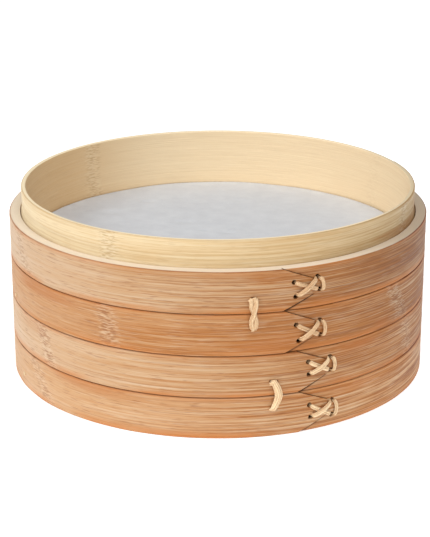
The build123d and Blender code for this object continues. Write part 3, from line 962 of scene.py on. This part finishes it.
def tie_piece(tier_name, side, cane):
    """A cane tie through both hoops: crossed strands on the upper tier, a bowed bundle on the lower."""
    tier = TIERS[tier_name]
    node = f"{tier_name}_{side}_tie"
    turn = tier["tie"] + (180 if side == "rear" else 0)
    low, high = tier["base"] + TIE_LOW, tier["base"] + TIE_HIGH
    bundle = Bundle(seed_of(node) + 50, 0.6 if tier_name == "upper_tier" else 1.0)

    def laid(turns, rises, heights):
        stations = zip(turns, rises, heights)
        return [polar(HOOP_RADIUS + rise * MM, turn + t, height) for t, rise, height in stations]

    def run(turns, rises, width, **kwargs):
        """A strand from the high hole to the low one, its two ends turned down into them."""
        share = (0, 0, 0, 0.22, 0.48, 0.76, 1, 1, 1)
        heights = [high - s * (high - low) for s in share]
        turns = (turns[0], turns[0], *turns, turns[-1], turns[-1])
        points = laid(turns, (-3.2, -0.9, *rises, -0.9, -3.2), heights)
        bundle.strip(points, width * MM, 0.95 * MM, **kwargs)

    def tail(turns, rises, hole, offsets, width):
        """A cut end that lies beside a hole and frays."""
        points = laid(turns, rises, [hole + offset * MM for offset in offsets])
        bundle.strip(points, width * MM, 0.7 * MM, count=18, fray=0.6 * MM, pinch=0.9)

    if tier_name == "upper_tier":
        run((-0.50, -0.60, 0.05, 0.62, 0.40), (0.9, 1.1, 1.0, 1.1, 0.8), 2.5, pinch=0.85)
        run((0.50, 0.55, -0.05, -0.62, -0.40), (0.9, 1.3, 2.3, 1.4, 0.9), 2.5, pinch=0.85)
        tail((-0.40, -0.25, -0.1), (1.2, 1.6, 1.0), low, (2.0, -0.2, -1.8), 1.7)
        tail((0.45, 0.40, 0.35), (1.1, 1.4, 0.9), low, (2.0, 0.2, -1.2), 1.5)
        tail((-0.5, -0.85, -1.20), (1.1, 1.5, 0.9), high, (-2.4, -0.8, 0.3), 1.5)
        tail((0.4, 0.30, 0.10), (1.1, 1.5, 0.9), high, (-1.8, 0.2, 1.5), 1.6)
    else:
        run((-0.40, 0.25, 0.60, 0.15, -0.60), (0.9, 1.3, 1.5, 1.3, 0.9), 1.9, fibres=3, pinch=0.9)
        run((0.45, 1.35, 1.80, 1.20, 0.15), (0.9, 1.2, 1.4, 1.2, 0.9), 1.8, fibres=3, pinch=0.9)
        run((0.0, 0.80, 1.20, 0.70, -0.2), (1.3, 2.2, 2.5, 2.2, 1.3), 1.7, fibres=3, pinch=0.9)
        tail((0.0, -0.40, -0.8), (1.1, 1.5, 0.9), low, (2.2, 0.9, -0.2), 1.7)
        tail((0.25, 0.0, -0.25), (1.2, 1.5, 0.9), low, (2.2, 0.5, -0.6), 1.6)
        tail((0.5, -0.35, -1.2), (1.2, 1.7, 1.0), high, (-2.0, -0.9, -1.1), 1.8)
        tail((0.5, 0.1, -0.3), (1.1, 1.5, 0.9), high, (-1.8, -0.2, 0.4), 1.7)
    inside = HOOP_INNER + 1.35 * MM
    points = [polar(inside, turn, height) for height in (low, (low + high) / 2, high)]
    bundle.strip(points, 2.1 * MM, 1.1 * MM, count=24)
    piece = bundle.piece(f"{node}_cane", cane)
    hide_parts(node)
    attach(piece, tier_name)


# ---- paper liner

def liner_piece():
    """A round of greaseproof paper lying on the slats, softly dented, its edge slightly lifted."""
    rng = np.random.default_rng(4)
    thickness = 0.14 * MM
    rings, spokes = 150, 300
    radii = LINER_RADIUS * np.linspace(0, 1, rings + 1)[1:]
    angles = np.linspace(0, 2 * math.pi, spokes, endpoint=False)
    radius, angle = np.meshgrid(radii, angles, indexing="ij")
    radius = radius * (1 - 0.004 * (0.5 + 0.5 * np.sin(3 * angle + 0.6)) * (radius / LINER_RADIUS) ** 8)
    x, y = radius * np.cos(angle), radius * np.sin(angle)
    dents = (
        (-68, 46, 7, 0.35), (-45, 71, 4, 0.30), (-21, 27, 6, 0.35), (15, 73, 5, 0.30), (7, 5, 4, 0.45),
        (-8, 9, 3, 0.30), (48, -22, 8, 0.20), (-52, -34, 9, 0.22), (62, 30, 7, 0.18),
    )

    def sag():
        """Dents with a soft ring round each, and ten long faint waves, in millimetres."""
        bump = np.zeros_like(x)
        for cx, cy, size, depth in dents:
            away = np.hypot(x / MM - cx, (y / MM - cy) * 1.4)
            ring = 0.4 * depth * np.exp(-(((away - size * 1.6) / size) ** 2))
            bump -= depth * np.exp(-((away / size) ** 2)) - ring
        for _ in range(10):
            heading, length, phase = rng.uniform(0, math.pi), rng.uniform(28, 80), rng.uniform(0, 6.28)
            along = (x * math.cos(heading) + y * math.sin(heading)) / MM
            bump += 0.035 * np.sin(along / length * 6.28 + phase)
        return bump

    lift = sag()
    lift -= lift.min()
    edge = 0.5 * smooth(radius / LINER_RADIUS, 0.93, 1.0) * (0.6 + 0.4 * np.sin(5 * angle))
    top = LINER_LOW + (0.28 + lift + np.clip(edge, 0, None)) * MM
    bottom = top - thickness
    centre = float(top[0].mean())
    upper = np.stack([x, y, top], axis=-1).reshape(-1, 3)
    lower = np.stack([x, y, bottom], axis=-1).reshape(-1, 3)
    vertices = upper.tolist() + lower.tolist() + [[0, 0, centre], [0, 0, centre - thickness]]
    count = rings * spokes
    faces = []
    for i in range(rings - 1):
        for k in range(spokes):
            a, b = i * spokes + k, i * spokes + (k + 1) % spokes
            faces.append((a, a + spokes, b + spokes, b))
            faces.append((count + b, count + b + spokes, count + a + spokes, count + a))
    rim = (rings - 1) * spokes
    for k in range(spokes):
        j = (k + 1) % spokes
        faces.append((rim + k, count + rim + k, count + rim + j, rim + j))
        faces.append((2 * count, k, j))
        faces.append((2 * count + 1, count + j, count + k))
    piece = new_piece("paper_liner_sheet", vertices, faces, paper_material())
    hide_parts("paper_liner")
    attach(piece, "paper_liner")
    slats = [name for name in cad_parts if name.startswith("upper_tier_slat_")]
    slats = [name for name in slats if name[-2:].isdigit()]


# ---- the rest of the basket

def dress_cad_nodes():
    """Materials for the pieces that keep their CAD shape."""
    slat_colours = (srgb(240, 214, 164), srgb(212, 172, 112), srgb(170, 124, 74))
    bar_colours = (srgb(230, 200, 148), srgb(198, 154, 98), srgb(156, 110, 66))
    slat = straight_bamboo("slat_bamboo_look", "y", *slat_colours, 3.0)
    bar = straight_bamboo("crossbar_bamboo_look", "x", *bar_colours, 9.0)
    peg = peg_bamboo()
    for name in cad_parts:
        piece = bpy.data.objects.get(name)
        if piece is None:
            continue
        if name.endswith(("_pegs", "_pins")):
            assign(piece, peg)
        elif "_slat_" in name:
            assign(piece, slat)
        elif name.endswith("_crossbar"):
            assign(piece, bar)


# ---- stage, light and camera

def stage():
    """A pale floor that glows a little, so that it stays near white round the basket."""
    graph = Graph("pale_floor")
    cloud = graph.noise(graph.spread(graph.place(), 1 / 300, 1 / 300, 1.0))
    colour = graph.mix(cloud, (0.93, 0.93, 0.93), (0.95, 0.95, 0.95))
    graph.shader.inputs["Emission Color"].default_value = (1, 1, 1, 1)
    graph.shader.inputs["Emission Strength"].default_value = 0.5
    material = graph.finish(colour, graph.span(cloud, 0, 1, 0.85, 0.9), cloud, 0.00001, 0.1)
    bpy.ops.mesh.primitive_plane_add(size=14, location=(0, 0, 0))
    floor = bpy.context.object
    floor.name = "floor"
    assign(floor, material)


def area_light(name, place, target, size, power):
    light = bpy.data.lights.new(name, "AREA")
    light.shape = "RECTANGLE"
    light.size, light.size_y = size
    light.energy = power
    lamp = bpy.data.objects.new(name, light)
    lamp.location = place
    lamp.rotation_euler = (Vector(target) - Vector(place)).to_track_quat("-Z", "Y").to_euler()
    bpy.context.scene.collection.objects.link(lamp)


def light_and_camera():
    """Soft white light, strongest from the left, and a long lens from the front and above."""
    scene = bpy.context.scene
    world = bpy.data.worlds.new("studio")
    scene.world = world
    world.use_nodes = True
    background = world.node_tree.nodes["Background"]
    background.inputs["Color"].default_value = (1.0, 1.0, 1.0, 1)
    background.inputs["Strength"].default_value = 0.36
    area_light("key_left", (-1.7, -0.9, 1.5), (0, 0, 0.06), (1.1, 1.1), 24)
    area_light("front_fill", (-0.2, -2.2, 1.0), (0, 0, 0.06), (1.4, 0.8), 4)
    area_light("top_right", (0.35, -0.8, 2.0), (0, 0.05, 0.1), (1.2, 1.2), 20)
    camera = bpy.data.cameras.new("camera")
    camera.sensor_fit = "HORIZONTAL"
    camera.sensor_width = 36
    camera.lens = 136.41
    view = bpy.data.objects.new("camera", camera)
    view.location = (-0.00174, -0.95556, 0.39061)
    view.rotation_euler = (math.radians(90 - 19.264), 0, 0)
    scene.collection.objects.link(view)
    bpy.context.scene.camera = view
    scene.view_settings.view_transform = "Standard"
    scene.view_settings.look = "None"


light_and_camera()
stage()
dress_cad_nodes()
split_cane = cane_material()
for tier_name in TIERS:
    ring_piece(tier_name)
    for level in ("upper", "lower"):
        Hoop(tier_name, level).make()
        lace_piece(tier_name, level, split_cane)
    for side in ("front", "rear"):
        tie_piece(tier_name, side, split_cane)
liner_piece()
